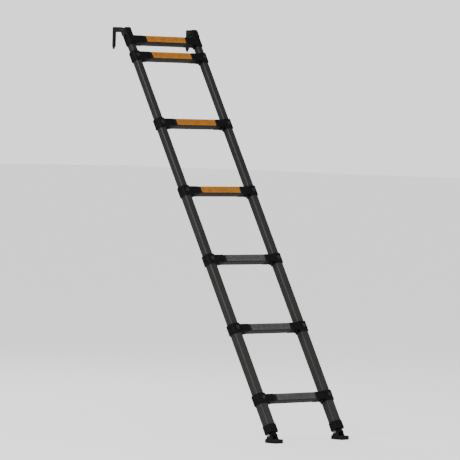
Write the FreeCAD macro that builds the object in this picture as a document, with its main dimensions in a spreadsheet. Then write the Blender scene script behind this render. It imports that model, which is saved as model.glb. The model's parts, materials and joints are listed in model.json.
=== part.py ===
"""Telescopic boarding ladder that hooks on to a roof-tent base beside the tailgate.

Seven sections, each a pair of round-cornered tubes with a tread between them, slide
into each other. The bottom section stands on pivoting shoes and the top one carries
two hooks. X runs along the treads, -Y is the climber's side and +Z is up.

Every piece is drawn in rail axes: its own +Z runs up along the rails and its origin
is on the ladder's middle plane at its tread's centre. Its Placement then leans it
back and sets it at its station, the distance up the rails from the ground. Shoes and
hooks are drawn upright, because the ground and the tent base are level.
"""
import FreeCAD
import Part
import os
import Sketcher

# ---------------------------------------------------------------- driving dimensions
SIZES = [
    ("lean_angle", 28.6, "degrees between the rails and the vertical"),
    ("base_shift", -517.73, "from the middle of the footprint to the rails at the ground"),
    ("rail_gauge", 440, "between the rails' centre lines"),
    ("step_pitch", 347, "between treads, section drawn out"),
    ("closed_pitch", 84, "between treads, section pushed in"),
    ("foot_length", 215, "up the rails from the ground to the lowest tread"),
    ("tube_width", 50, "lowest tube, along X"),
    ("tube_depth", 46, "lowest tube, front to back"),
    ("tube_corner", 14, "lowest tube, outer corner radius"),
    ("tube_wall", 1.1, "wall of every tube"),
    ("slide_gap", 0.3, "between one tube and the next, all round"),
    ("tube_overlap", 70, "of a drawn-out tube below the tread under it"),
    ("tube_rise", 10, "of a tube above its own tread's centre"),
    ("collar_wall", 4.5, "of a collar round its tube"),
    ("collar_top", 22, "above the tread's centre"),
    ("collar_bottom", 26, "below the tread's centre"),
    ("collar_seat_gap", 0.05, "between a collar and the tube it is riveted to"),
    ("cap_top", 60, "top of the top collar, above its tread's centre"),
    ("spacer_width", 16, "of the leg that keeps closed collars a finger apart"),
    ("arm_end", 142, "from the middle plane to the inner end of a collar's arm"),
    ("arm_depth", 43, "of a collar's arm, front to back"),
    ("arm_height", 37, "of a collar's arm"),
    ("arm_corner", 5, "corner radius of an arm"),
    ("tongue_length", 24, "of an arm's tongue inside the tread"),
    ("tread_depth", 40, "front to back"),
    ("tread_height", 35, "along the rails"),
    ("tread_wall", 2, "of the tread's box section"),
    ("tread_corner", 4, "corner radius of the tread"),
    ("groove_pitch", 4.6, "between the grooves on a tread's top"),
    ("groove_width", 2, "of a groove on a tread's top"),
    ("groove_depth", 0.9, "of a groove on a tread's top"),
    ("grip_length", 252, "of a grip strip"),
    ("grip_height", 31, "of a grip strip"),
    ("grip_edge", 1.8, "thickness of a grip strip at its edges"),
    ("grip_crown", 1.7, "by which its middle stands further out"),
    ("latch_drop", 7, "of the lock pins below the tread's centre"),
    ("latch_pin", 4, "radius of a lock pin"),
    ("latch_block", 20, "length of a latch's sliding block"),
    ("latch_width", 22, "front to back"),
    ("latch_height", 11.4, "of the sliding block"),
    ("latch_travel", 8, "inwards, to draw the pin out of the rail"),
    ("latch_bay_outer", 188, "from the middle plane to the bay's outer end"),
    ("latch_bay_inner", 148, "from the middle plane to the bay's inner end"),
    ("latch_tab", 14, "width of the thumb tab, both ways"),
    ("latch_tab_bottom", 27, "of the thumb tab, below the tread's centre"),
    ("spring_radius", 5, "mean radius of a latch spring"),
    ("spring_wire", 0.53, "corner radius of its eight-sided wire"),
    ("spring_pitch", 2.4, "between its turns"),
    ("rivet_head", 10, "radius of a collar rivet's domed head"),
    ("rivet_dome", 2.8, "height of the dome"),
    ("rivet_shank", 3, "radius of its shank"),
    ("pivot_height", 34, "of a shoe's pivot above the ground"),
    ("pivot_pin", 4, "radius of the pivot pin"),
    ("pivot_clearance", 0.05, "of a shoe's bore round the pin"),
    ("fitting_gap", 10, "from the pivot up to the foot fitting's plate"),
    ("fitting_plate", 4, "thickness of that plate"),
    ("fitting_sleeve", 34, "of the foot fitting up the tube"),
    ("fitting_wall", 3, "of that sleeve"),
    ("tongue_half", 14, "half the width of the foot fitting's tongue"),
    ("tongue_radius", 8.5, "of the tongue round the pivot"),
    ("tongue_flare", 13, "half the depth of the tongue where it meets the plate"),
    ("cheek_gap", 0.4, "between a shoe's cheeks and the tongue"),
    ("cheek_width", 9, "thickness of a shoe's cheek"),
    ("cheek_radius", 9, "of a cheek round the pivot"),
    ("cheek_flare", 17, "half the depth of a cheek where it meets the sole"),
    ("sole_width", 56, "of a shoe, along X"),
    ("sole_length", 68, "of a shoe, front to back"),
    ("sole_forward", 10, "of the sole's middle in front of the pivot"),
    ("sole_height", 18, "thickness of the sole"),
    ("sole_corner", 9, "corner radius of the sole"),
    ("sole_groove", 3, "depth and width of the grooves underneath"),
    ("hook_plate", 5, "thickness of a hook"),
    ("hook_low", 24, "along the rail to the hook plate's lower end"),
    ("hook_high", 58, "along the rail to its upper end"),
    ("hook_half", 12, "half the plate's width where it is bolted on"),
    ("hook_reach", 88, "from the rail at tread height back to the hook's outer face"),
    ("hook_tip_width", 14, "of the hook's hanging leg"),
    ("hook_tip_drop", 42, "of that leg below the top tread's centre"),
    ("hook_top", 60, "of the hook above the top tread's centre"),
    ("hook_bar", 22, "height of the bar that joins leg and plate"),
    ("hook_seat_front", 36, "front end of the seat that bears on the tent base"),
    ("hook_round", 5, "radius on the hook's corners"),
    ("hook_liner", 2, "thickness of the liner in the hook's mouth"),
    ("hook_liner_width", 12, "of the liner, along X"),
    ("bolt_radius", 3, "of the hook bolts"),
    ("bolt_low", 31, "along the rail to the lower bolt"),
    ("bolt_high", 49, "along the rail to the upper bolt"),
    ("bolt_head", 4, "height of a bolt head"),
    ("bolt_nut", 5, "height of a nut"),
    ("bolt_flats", 5.77, "corner radius of a bolt head or nut"),
    ("collar_edge", 1.2, "rounding of the collars' and foot fittings' outer edges"),
    ("latch_round", 2, "rounding of a latch's corners"),
    ("rivet_edge", 2.2, "rounding of a rivet head's rim"),
    ("grip_groove", 1.2, "width and greatest depth of the grooves in a grip strip"),
    ("grip_rib_pitch", 5.2, "between those grooves"),
    ("sole_bar_pitch", 11, "between the grooves underneath a shoe"),
    ("weld", 1, "by which one solid runs into the next, so that they fuse"),
    ("sole_round", 3, "rounding of the sole's top edge"),
    ("pin_head", 2.5, "thickness of a shoe pin's heads"),
    ("pin_head_radius", 6.5, "radius of those heads"),
]
SECTIONS = 7
WIRE_SIDES = 8
SIDES = {"left": -1, "right": 1}
UP = FreeCAD.Vector(0, 0, 1)
ACROSS = FreeCAD.Vector(1, 0, 0)
PIVOT = "(Dims.pivot_height / cos(Dims.lean_angle))"
TREAD = ("Dims.tread_depth", "Dims.tread_height", "Dims.tread_corner")
ARM_REACH = "(Dims.rail_gauge / 2 - Dims.arm_end)"
ARM_START = "(Dims.rivet_head + 2 * Dims.collar_edge)"
BLOCK_START = "(Dims.rail_gauge / 2 - Dims.latch_bay_outer + Dims.slide_gap)"
TAB_START = f"({BLOCK_START} + Dims.latch_round)"

doc = FreeCAD.newDocument("boarding_ladder")
dims = doc.addObject("Spreadsheet::Sheet", "Dims")
for row, (alias, size, meaning) in enumerate(SIZES, start=1):
    dims.set(f"A{row}", alias)
    dims.set(f"B{row}", str(size))
    dims.setAlias(f"B{row}", alias)
    dims.set(f"C{row}", meaning)
doc.recompute()

parts = {}


def value(expression):
    """The number that an expression on the sheet stands for."""
    return float(doc.Dims.evalExpression(expression))


def bind(thing, **expressions):
    """Bind properties to expressions; a double underscore stands for a dot."""
    for name, expression in expressions.items():
        thing.setExpression(name.replace("__", "."), expression)


def keep(thing, name, placement):
    """Give a finished piece its label and its place on the ladder."""
    thing.Label = name
    bind(thing, Placement=placement)
    parts[name] = thing


# ------------------------------------------------------------------- places and sizes
def station(section):
    """How far up the rails a section's tread is."""
    if section < SECTIONS:
        return f"(Dims.foot_length + {section - 1} * Dims.step_pitch)"
    return f"(Dims.foot_length + {SECTIONS - 2} * Dims.step_pitch + Dims.closed_pitch)"


def up_the_rails(distance, x="0", upright=False):
    """A Placement at a distance up the rails, leaning with them unless upright."""
    y = f"Dims.base_shift + {distance} * sin(Dims.lean_angle)"
    z = f"{distance} * cos(Dims.lean_angle)"
    turn = "0" if upright else "-Dims.lean_angle"
    return f"placement(vector({x}; {y}; {z}); rotation(vector(1; 0; 0); {turn}))"


def tube_size(section):
    """Outer width, depth and corner radius of a section's tube."""
    step = f"{section - 1} * 2 * (Dims.tube_wall + Dims.slide_gap)"
    return (
        f"(Dims.tube_width - {step})",
        f"(Dims.tube_depth - {step})",
        f"(Dims.tube_corner - 0.5 * {step})",
    )


def grown(size, by):
    """An outline's width, depth and corner radius with an even margin added."""
    width, depth, corner = size
    return f"({width} + 2 * {by})", f"({depth} + 2 * {by})", f"({corner} + {by})"


# ------------------------------------------------------------------------ sketch tools
def sketch_on(body, plane, offset="0"):
    """A new sketch on one of a body's origin planes, moved along its normal."""
    sketch = body.newObject("Sketcher::SketchObject", "Sketch")
    origin_plane = [o for o in body.Origin.OriginFeatures if o.Role == plane][0]
    sketch.AttachmentSupport = [(origin_plane, "")]
    sketch.MapMode = "FlatFace"
    bind(sketch, AttachmentOffset__Base__z=offset)
    return sketch


def measure(sketch, kind, geometry, point, expression):
    """Hold a point's distance from the sketch's origin to an expression."""
    size = value(expression)
    index = sketch.addConstraint(Sketcher.Constraint(kind, -1, 1, geometry, point, size))
    sketch.setExpression(f"Constraints[{index}]", expression)


def polygon(sketch, corners):
    """A closed outline through corners given as pairs of expressions."""
    points = [FreeCAD.Vector(value(x), value(y), 0) for x, y in corners]
    lines = [
        sketch.addGeometry(Part.LineSegment(start, end), False)
        for start, end in zip(points, points[1:] + points[:1])
    ]
    for line, after in zip(lines, lines[1:] + lines[:1]):
        sketch.addConstraint(Sketcher.Constraint("Coincident", line, 2, after, 1))
    for line, (x, y) in zip(lines, corners):
        measure(sketch, "DistanceX", line, 1, x)
        measure(sketch, "DistanceY", line, 1, y)


def rectangle(sketch, left, right, bottom, top):
    """A closed rectangle between four expressions."""
    polygon(sketch, [(left, bottom), (right, bottom), (right, top), (left, top)])


def circle(sketch, x, y, radius):
    """A circle with its centre and radius bound."""
    centre = FreeCAD.Vector(value(x), value(y), 0)
    ring = Part.Circle(centre, FreeCAD.Vector(0, 0, 1), value(radius))
    geometry = sketch.addGeometry(ring, False)
    measure(sketch, "DistanceX", geometry, 3, x)
    measure(sketch, "DistanceY", geometry, 3, y)
    constraint = Sketcher.Constraint("Radius", geometry, value(radius))
    index = sketch.addConstraint(constraint)
    sketch.setExpression(f"Constraints[{index}]", radius)


def round_rect(sketch, size, middle=("0", "0")):
    """A closed rectangle with equal round corners about a middle point."""
    width, depth, corner = size
    x, y = value(middle[0]), value(middle[1])
    across, along, radius = value(width) / 2, value(depth) / 2, value(corner)
    quarters = [(1, -1, -90), (1, 1, 0), (-1, 1, 90), (-1, -1, 180)]
    arcs = []
    for right, up, start in quarters:
        centre = FreeCAD.Vector(x + right * (across - radius), y + up * (along - radius), 0)
        full = Part.Circle(centre, FreeCAD.Vector(0, 0, 1), radius)
        first = FreeCAD.Units.Quantity(f"{start} deg").getValueAs("rad").Value
        last = FreeCAD.Units.Quantity(f"{start + 90} deg").getValueAs("rad").Value
        arcs.append(sketch.addGeometry(Part.ArcOfCircle(full, first, last), False))
    lines = []
    for arc, after in zip(arcs, arcs[1:] + arcs[:1]):
        start = sketch.Geometry[arc].EndPoint
        end = sketch.Geometry[after].StartPoint
        lines.append(sketch.addGeometry(Part.LineSegment(start, end), False))
    for arc, line, after in zip(arcs, lines, arcs[1:] + arcs[:1]):
        sketch.addConstraint(Sketcher.Constraint("Tangent", arc, 2, line, 1))
        sketch.addConstraint(Sketcher.Constraint("Tangent", line, 2, after, 1))
        if after != arcs[0]:
            sketch.addConstraint(Sketcher.Constraint("Equal", arc, after))
    for line, way in zip(lines, ["Vertical", "Horizontal", "Vertical", "Horizontal"]):
        sketch.addConstraint(Sketcher.Constraint(way, line))
    index = sketch.addConstraint(Sketcher.Constraint("Radius", arcs[0], radius))
    sketch.setExpression(f"Constraints[{index}]", corner)
    measure(sketch, "DistanceX", lines[0], 1, f"{middle[0]} + {width} / 2")
    measure(sketch, "DistanceY", lines[1], 1, f"{middle[1]} + {depth} / 2")
    measure(sketch, "DistanceX", lines[2], 1, f"{middle[0]} - {width} / 2")
    measure(sketch, "DistanceY", lines[3], 1, f"{middle[1]} - {depth} / 2")


# ------------------------------------------------------------------------ body features
def new_body(name):
    """An empty body; its label is set when it is kept."""
    return doc.addObject("PartDesign::Body", name)


def pad(body, sketch, length, both_ways=False, backwards=False):
    """Add a sketch's outline, drawn out by a length."""
    feature = body.newObject("PartDesign::Pad", "Pad")
    feature.Profile = sketch
    feature.SideType = "Symmetric" if both_ways else "One side"
    feature.Reversed = backwards
    bind(feature, Length=length)
    body.Tip = feature
    return feature


def pocket(body, sketch, length, both_ways=False, forwards=False):
    """Cut a sketch's outline: against its normal, or with it when forwards."""
    feature = body.newObject("PartDesign::Pocket", "Pocket")
    feature.Profile = sketch
    feature.SideType = "Symmetric" if both_ways else "One side"
    feature.Reversed = forwards
    bind(feature, Length=length)
    body.Tip = feature
    return feature


def edges_where(feature, test):
    """The names of a feature's edges that pass a test."""
    edges = enumerate(feature.Shape.Edges, start=1)
    return [f"Edge{number}" for number, edge in edges if test(edge)]


def runs_along(edge, axis):
    """Whether a straight edge runs along an axis."""
    if not isinstance(edge.Curve, (Part.Line, Part.LineSegment)):
        return False
    return abs(abs(edge.tangentAt(edge.FirstParameter).dot(axis)) - 1) < 1e-6


def is_ring(edge, radius):
    """Whether an edge is a circle of a given radius."""
    return isinstance(edge.Curve, Part.Circle) and abs(edge.Curve.Radius - radius) < 1e-4


def ease(body, feature, test, radius, kind="Fillet"):
    """Round or chamfer the edges of a feature that pass a test."""
    doc.recompute()
    rounding = body.newObject(f"PartDesign::{kind}", kind)
    rounding.Base = (feature, edges_where(feature, test))
    bind(rounding, **{"Radius" if kind == "Fillet" else "Size": radius})
    body.Tip = rounding
    return rounding


def mirrored_pair(body, name, placement, gauge="Dims.rail_gauge"):
    """A left piece, drawn on its own rail's axis, and its mirror image on the right."""
    bind(body, Placement=f"placement(vector(-{gauge} / 2; 0; 0); rotation(vector(1; 0; 0); 0))")
    other = doc.addObject("Part::Mirroring", f"{name}_right")
    other.Source = body
    other.Normal = FreeCAD.Vector(1, 0, 0)
    pair = doc.addObject("Part::Compound", name)
    pair.Links = [body, other]
    keep(pair, name, placement)


HOOK_FACE = f"({tube_size(SECTIONS)[0]} / 2 + Dims.collar_wall)"


# -------------------------------------------------------------------- rails and collars
def rail_tubes(section):
    """A section's two tubes, with holes for its rivets, lock pins and hook bolts."""
    body = new_body(f"tube_{section}")
    outer = tube_size(section)
    length = "(Dims.step_pitch + Dims.tube_overlap)"
    if section == 1:
        length = f"(Dims.foot_length - {PIVOT} - Dims.fitting_gap - Dims.fitting_plate)"
    rise = "Dims.tube_rise" if section < SECTIONS else "(Dims.cap_top - Dims.collar_wall)"
    profile = sketch_on(body, "XY_Plane", f"-{length}")
    round_rect(profile, outer)
    round_rect(profile, grown(outer, "(-Dims.tube_wall)"))
    pad(body, profile, f"{length} + {rise}")
    inner_side = sketch_on(body, "YZ_Plane")
    if section > 1:
        lock_hole = "(-Dims.step_pitch - Dims.latch_drop)"
        circle(inner_side, "0", lock_hole, "(Dims.latch_pin + Dims.slide_gap)")
    if section < SECTIONS:
        circle(inner_side, "0", "-Dims.latch_drop", "(Dims.latch_pin + Dims.slide_gap)")
        pocket(body, inner_side, outer[0], forwards=True)
        rivet_hole(body, outer)
    else:
        pocket(body, inner_side, outer[0], forwards=True)
        bolt_holes(body, outer)
    mirrored_pair(body, f"rail_tubes_{section}", up_the_rails(station(section)))


def rivet_hole(body, outer):
    """A hole through the front wall for a collar rivet."""
    front = sketch_on(body, "XZ_Plane")
    circle(front, "0", "0", "(Dims.rivet_shank + Dims.collar_seat_gap)")
    pocket(body, front, outer[1], forwards=True)


def bolt_holes(body, outer):
    """Two holes right across the top tube or collar for the hook bolts."""
    across = sketch_on(body, "YZ_Plane")
    for height in ("Dims.bolt_low", "Dims.bolt_high"):
        circle(across, "0", height, "(Dims.bolt_radius + Dims.collar_seat_gap)")
    pocket(body, across, f"2 * {outer[0]}", both_ways=True)


def collars(section):
    """A section's two collars: boss round the rail, arm to the tread, tongue in it."""
    body = new_body(f"collar_{section}")
    outer = tube_size(section)
    top = section == SECTIONS
    high = "Dims.cap_top" if top else "Dims.collar_top"
    boss_sketch = sketch_on(body, "XY_Plane", "-Dims.collar_bottom")
    round_rect(boss_sketch, grown(outer, "Dims.collar_wall"))
    boss = pad(body, boss_sketch, f"Dims.collar_bottom + {high}")
    ease(body, boss, lambda edge: not runs_along(edge, UP), "Dims.collar_edge")
    if section > 1:
        finger_spacer(body, outer)
    arm = sketch_on(body, "YZ_Plane", ARM_START)
    round_rect(arm, ("Dims.arm_depth", "Dims.arm_height", "Dims.arm_corner"))
    pad(body, arm, f"{ARM_REACH} - {ARM_START}")
    tongue = sketch_on(body, "YZ_Plane", f"{ARM_REACH} - Dims.tread_wall")
    round_rect(tongue, grown(TREAD, "(-Dims.tread_wall - Dims.collar_seat_gap)"))
    pad(body, tongue, "Dims.tongue_length + Dims.tread_wall")
    lower_bore = sketch_on(body, "XY_Plane", "-Dims.closed_pitch")
    round_rect(lower_bore, grown(outer, "Dims.collar_seat_gap"))
    seat = "(Dims.cap_top - Dims.collar_wall)" if top else "Dims.tube_rise"
    pocket(body, lower_bore, f"Dims.closed_pitch + {seat}", forwards=True)
    if top:
        bolt_holes(body, outer)
    else:
        upper_bore = sketch_on(body, "XY_Plane")
        round_rect(upper_bore, grown(outer, "(-Dims.tube_wall)"))
        pocket(body, upper_bore, "2 * Dims.collar_top", forwards=True)
        latch_bay(body)
        rivet_hole(body, grown(outer, "Dims.collar_wall"))
    mirrored_pair(body, f"collars_{section}", up_the_rails(station(section)))


def finger_spacer(body, outer):
    """The leg behind the rail that holds closed collars a finger's width apart."""
    reach = "(Dims.closed_pitch - Dims.collar_top - Dims.slide_gap)"
    leg = sketch_on(body, "XY_Plane", f"-{reach}")
    back = f"{outer[1]} / 2"
    half = "Dims.spacer_width / 2"
    rectangle(leg, f"-{half}", half, back, f"{back} + Dims.collar_wall")
    pad(body, leg, reach)


def latch_bay(body):
    """The bay in a collar's arm where a latch slides, its slot and its pin's hole."""
    outer_end = "(Dims.rail_gauge / 2 - Dims.latch_bay_outer)"
    inner_end = "(Dims.rail_gauge / 2 - Dims.latch_bay_inner)"
    half = "(Dims.latch_width / 2 + Dims.slide_gap)"
    floor = "(Dims.latch_drop + Dims.latch_height / 2 + Dims.slide_gap)"
    bay = sketch_on(body, "XY_Plane", f"-{floor}")
    rectangle(bay, outer_end, inner_end, f"-{half}", half)
    pocket(body, bay, "Dims.latch_height + 2 * Dims.slide_gap", forwards=True)
    slot = sketch_on(body, "XY_Plane", "-Dims.arm_height")
    half = "(Dims.latch_tab / 2 + Dims.slide_gap)"
    slot_outer = f"({TAB_START} - Dims.slide_gap)"
    slot_inner = f"({TAB_START} + Dims.latch_tab + Dims.latch_travel + Dims.slide_gap)"
    rectangle(slot, slot_outer, slot_inner, f"-{half}", half)
    pocket(body, slot, "Dims.arm_height - Dims.latch_drop", forwards=True)
    pin_hole = sketch_on(body, "YZ_Plane")
    circle(pin_hole, "0", "-Dims.latch_drop", "(Dims.latch_pin + Dims.pivot_clearance)")
    pocket(body, pin_hole, f"{outer_end} + Dims.weld", forwards=True)


def collar_rivets(section):
    """Button-headed rivets that hold a section's collars to its tubes, from the front."""
    body = new_body(f"rivet_{section}")
    depth = tube_size(section)[1]
    face = f"(-{depth} / 2 - Dims.collar_wall)"
    tail = f"(-{depth} / 2 + Dims.tube_wall)"
    half = sketch_on(body, "XY_Plane")
    crown = f"({face} - Dims.rivet_dome)"
    polygon(half, [
        ("0", crown),
        ("Dims.rivet_head", crown),
        ("Dims.rivet_head", face),
        ("Dims.rivet_shank", face),
        ("Dims.rivet_shank", tail),
        ("0", tail),
    ])
    turned = body.newObject("PartDesign::Revolution", "Revolution")
    turned.Profile = half
    turned.ReferenceAxis = (half, ["V_Axis"])
    turned.Angle = 360
    body.Tip = turned
    head, top = value("Dims.rivet_head"), value(crown)
    ease(
        body,
        turned,
        lambda edge: is_ring(edge, head) and abs(edge.BoundBox.YMax - top) < 1e-4,
        "Dims.rivet_edge",
    )
    mirrored_pair(body, f"collar_rivets_{section}", up_the_rails(station(section)))


# ------------------------------------------------------------------------------ treads
def tread(section):
    """A box-section tread, grooved along its top."""
    body = new_body(f"tread_{section}")
    profile = sketch_on(body, "YZ_Plane", "-Dims.arm_end")
    round_rect(profile, TREAD)
    round_rect(profile, grown(TREAD, "(-Dims.tread_wall)"))
    pad(body, profile, "2 * Dims.arm_end")
    grooves = sketch_on(body, "YZ_Plane")
    high = "Dims.tread_height / 2"
    for place in range(-3, 4):
        middle = f"{place} * Dims.groove_pitch"
        rectangle(
            grooves,
            f"{middle} - Dims.groove_width / 2",
            f"{middle} + Dims.groove_width / 2",
            f"{high} - Dims.groove_depth",
            f"{high} + Dims.groove_depth",
        )
    pocket(body, grooves, "2 * Dims.arm_end + Dims.weld", both_ways=True)
    keep(body, f"tread_{section}", up_the_rails(station(section)))


def grip_strip(section):
    """A crowned, ribbed strip on a tread's front face."""
    body = new_body(f"grip_strip_{section}")
    profile = sketch_on(body, "YZ_Plane", "-Dims.grip_length / 2")
    back = "-Dims.tread_depth / 2"
    edge = f"({back} - Dims.grip_edge)"
    half = "Dims.grip_height / 2"
    crowned_outline(profile, back, edge, half, "Dims.grip_crown")
    pad(body, profile, "Dims.grip_length")
    ribs = sketch_on(body, "YZ_Plane")
    floor = f"({edge} - Dims.grip_crown + Dims.grip_groove)"
    for place in range(-2, 3):
        middle = f"{place} * Dims.grip_rib_pitch"
        rectangle(
            ribs,
            f"{floor} - 2 * Dims.grip_crown",
            floor,
            f"{middle} - Dims.grip_groove / 2",
            f"{middle} + Dims.grip_groove / 2",
        )
    pocket(body, ribs, "2 * Dims.grip_length", both_ways=True)
    keep(body, f"grip_strip_{section}", up_the_rails(station(section)))


def crowned_outline(sketch, back, edge, half, crown):
    """A strip's section: flat back, two edges and a front that is one shallow arc."""
    x_back, x_edge, tall = value(back), value(edge), value(half)
    peak = FreeCAD.Vector(x_edge - value(crown), 0, 0)
    low_edge, high_edge = (FreeCAD.Vector(x_edge, z, 0) for z in (-tall, tall))
    low_back, high_back = (FreeCAD.Vector(x_back, z, 0) for z in (-tall, tall))
    for start, end in [(low_edge, low_back), (low_back, high_back), (high_back, high_edge)]:
        sketch.addGeometry(Part.LineSegment(start, end), False)
    sketch.addGeometry(Part.Arc(high_edge, peak, low_edge), False)
    start_point, end_point = sketch.Geometry[3].StartPoint, high_edge
    from_top = start_point.distanceToPoint(end_point) < 1e-6
    sketch.addConstraint(Sketcher.Constraint("Coincident", 0, 2, 1, 1))
    sketch.addConstraint(Sketcher.Constraint("Coincident", 1, 2, 2, 1))
    sketch.addConstraint(Sketcher.Constraint("Coincident", 2, 2, 3, 1 if from_top else 2))
    sketch.addConstraint(Sketcher.Constraint("Coincident", 3, 2 if from_top else 1, 0, 1))
    radius = f"({half} * {half} + {crown} * {crown}) / (2 * {crown})"
    index = sketch.addConstraint(Sketcher.Constraint("Radius", 3, value(radius)))
    sketch.setExpression(f"Constraints[{index}]", radius)
    for line, x, z in [(0, edge, f"-{half}"), (1, back, f"-{half}"), (2, back, half)]:
        measure(sketch, "DistanceX", line, 1, x)
        measure(sketch, "DistanceY", line, 1, z)
    measure(sketch, "DistanceX", 2, 2, edge)
    measure(sketch, "DistanceY", 2, 2, half)


# ----------------------------------------------------------------------------- latches
def latch(section, side):
    """A sliding lock: block, pin towards the rail and the thumb tab under the arm."""
    body = new_body(f"latch_{side}_{section}")
    width = tube_size(section)[0]
    block = sketch_on(body, "YZ_Plane", BLOCK_START)
    drop = ("0", "-Dims.latch_drop")
    round_rect(block, ("Dims.latch_width", "Dims.latch_height", "Dims.latch_round"), drop)
    pad(body, block, "Dims.latch_block")
    tip = f"({width} / 2 - Dims.tube_wall)"
    pin = sketch_on(body, "YZ_Plane", tip)
    circle(pin, *drop, "Dims.latch_pin")
    pad(body, pin, f"{BLOCK_START} - {tip} + Dims.weld")
    tab = sketch_on(body, "XY_Plane", "-Dims.latch_tab_bottom")
    middle = (f"({TAB_START} + Dims.latch_tab / 2)", "0")
    round_rect(tab, ("Dims.latch_tab", "Dims.latch_tab", "Dims.latch_round"), middle)
    thumb = pad(body, tab, "Dims.latch_tab_bottom - Dims.latch_drop")
    low = -value("Dims.latch_tab_bottom")
    ease(body, thumb, lambda edge: edge.BoundBox.ZMax < low + 1e-4, "Dims.latch_round")
    turn = "rotation(vector(1; 0; 0); -Dims.lean_angle)"
    if side == "right":
        turn = "rotation(180; 0; Dims.lean_angle)"
    y = f"Dims.base_shift + {station(section)} * sin(Dims.lean_angle)"
    z = f"{station(section)} * cos(Dims.lean_angle)"
    x = f"{SIDES[side]} * Dims.rail_gauge / 2"
    keep(body, f"latch_{side}_{section}", f"placement(vector({x}; {y}; {z}); {turn})")


def latch_springs(section):
    """The coil springs that push a section's two latches towards the rails."""
    name = f"latch_spring_{section}"
    coil = doc.addObject("Part::Helix", f"{name}_coil")
    room = "(Dims.latch_bay_outer - Dims.latch_bay_inner - Dims.latch_block)"
    free = f"({room} - Dims.slide_gap - 4 * Dims.spring_wire)"
    bind(coil, Pitch="Dims.spring_pitch", Height=free, Radius="Dims.spring_radius")
    wire = doc.addObject("Part::RegularPolygon", f"{name}_wire")
    wire.Polygon = WIRE_SIDES
    bind(
        wire,
        Circumradius="Dims.spring_wire",
        Placement="placement(vector(Dims.spring_radius; 0; 0); rotation(vector(1; 0; 0); 90))",
    )
    spring = doc.addObject("Part::Sweep", name)
    spring.Sections = [wire]
    spring.Spine = coil
    spring.Solid = True
    spring.Frenet = True
    start = f"({BLOCK_START} + Dims.latch_block + 2 * Dims.spring_wire - Dims.rail_gauge / 2)"
    place = f"vector({start}; 0; -Dims.latch_drop)"
    bind(spring, Placement=f"placement({place}; rotation(vector(0; 1; 0); 90))")
    other = doc.addObject("Part::Mirroring", f"{name}_right")
    other.Source = spring
    other.Normal = ACROSS
    pair = doc.addObject("Part::Compound", f"latch_springs_{section}")
    pair.Links = [spring, other]
    keep(pair, f"latch_springs_{section}", up_the_rails(station(section)))


# -------------------------------------------------------------------------------- feet
def foot_fittings():
    """Castings on the lowest tubes: sleeve, closing plate and the tongue of the pivot."""
    body = new_body("foot_fitting")
    outer = tube_size(1)
    plate = sketch_on(body, "XY_Plane", "Dims.fitting_gap")
    round_rect(plate, grown(outer, "Dims.fitting_wall"))
    sleeve = pad(body, plate, "Dims.fitting_plate + Dims.fitting_sleeve")
    ease(body, sleeve, lambda edge: not runs_along(edge, UP), "Dims.collar_edge")
    bore = sketch_on(body, "XY_Plane", "Dims.fitting_gap + Dims.fitting_plate")
    round_rect(bore, grown(outer, "Dims.collar_seat_gap"))
    pocket(body, bore, "2 * Dims.fitting_sleeve", forwards=True)
    tongue_rise = "Dims.fitting_gap + Dims.fitting_plate / 2"
    sizes = ("2 * Dims.tongue_half", "Dims.tongue_radius", "Dims.tongue_flare")
    lug(body, "-Dims.tongue_half", *sizes, tongue_rise)
    pin_bore = sketch_on(body, "YZ_Plane")
    circle(pin_bore, "0", "0", "(Dims.pivot_pin + Dims.collar_seat_gap)")
    pocket(body, pin_bore, "4 * Dims.tongue_half", both_ways=True)
    mirrored_pair(body, "foot_fittings", up_the_rails(PIVOT))


def lug(body, start, thickness, radius, flare, foot):
    """A plate across X, round about the pivot and widening to its foot."""
    stem = sketch_on(body, "YZ_Plane", start)
    polygon(stem, [
        (f"-{radius}", "0"),
        (radius, "0"),
        (flare, foot),
        (f"-{flare}", foot),
    ])
    pad(body, stem, thickness)
    eye = sketch_on(body, "YZ_Plane", start)
    circle(eye, "0", "0", radius)
    pad(body, eye, thickness)


def shoe(side):
    """A rubber shoe: grooved sole, and two cheeks that take the pivot pin."""
    body = new_body(f"shoe_{side}")
    ground = sketch_on(body, "XY_Plane", "-Dims.pivot_height")
    middle = ("0", "(-Dims.sole_forward)")
    round_rect(ground, ("Dims.sole_width", "Dims.sole_length", "Dims.sole_corner"), middle)
    sole = pad(body, ground, "Dims.sole_height")
    top = value("Dims.sole_height - Dims.pivot_height")
    ease(body, sole, lambda edge: edge.BoundBox.ZMin > top - 1e-4, "Dims.sole_round")
    inner = "(Dims.tongue_half + Dims.cheek_gap)"
    foot = "(Dims.sole_height - Dims.pivot_height - Dims.weld)"
    for start in (inner, f"(-{inner} - Dims.cheek_width)"):
        lug(body, start, "Dims.cheek_width", "Dims.cheek_radius", "Dims.cheek_flare", foot)
    bore = sketch_on(body, "YZ_Plane")
    circle(bore, "0", "0", "(Dims.pivot_pin + Dims.pivot_clearance)")
    pocket(body, bore, "2 * Dims.sole_width", both_ways=True)
    tread_bars = sketch_on(body, "YZ_Plane")
    for place in range(-2, 3):
        middle_y = f"{place} * Dims.sole_bar_pitch - Dims.sole_forward"
        rectangle(
            tread_bars,
            f"{middle_y} - Dims.sole_groove / 2",
            f"{middle_y} + Dims.sole_groove / 2",
            "-Dims.pivot_height - Dims.sole_groove",
            "-Dims.pivot_height + Dims.sole_groove",
        )
    pocket(body, tread_bars, "2 * Dims.sole_width", both_ways=True)
    x = f"{SIDES[side]} * Dims.rail_gauge / 2"
    keep(body, f"shoe_{side}", up_the_rails(PIVOT, x, upright=True))


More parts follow.
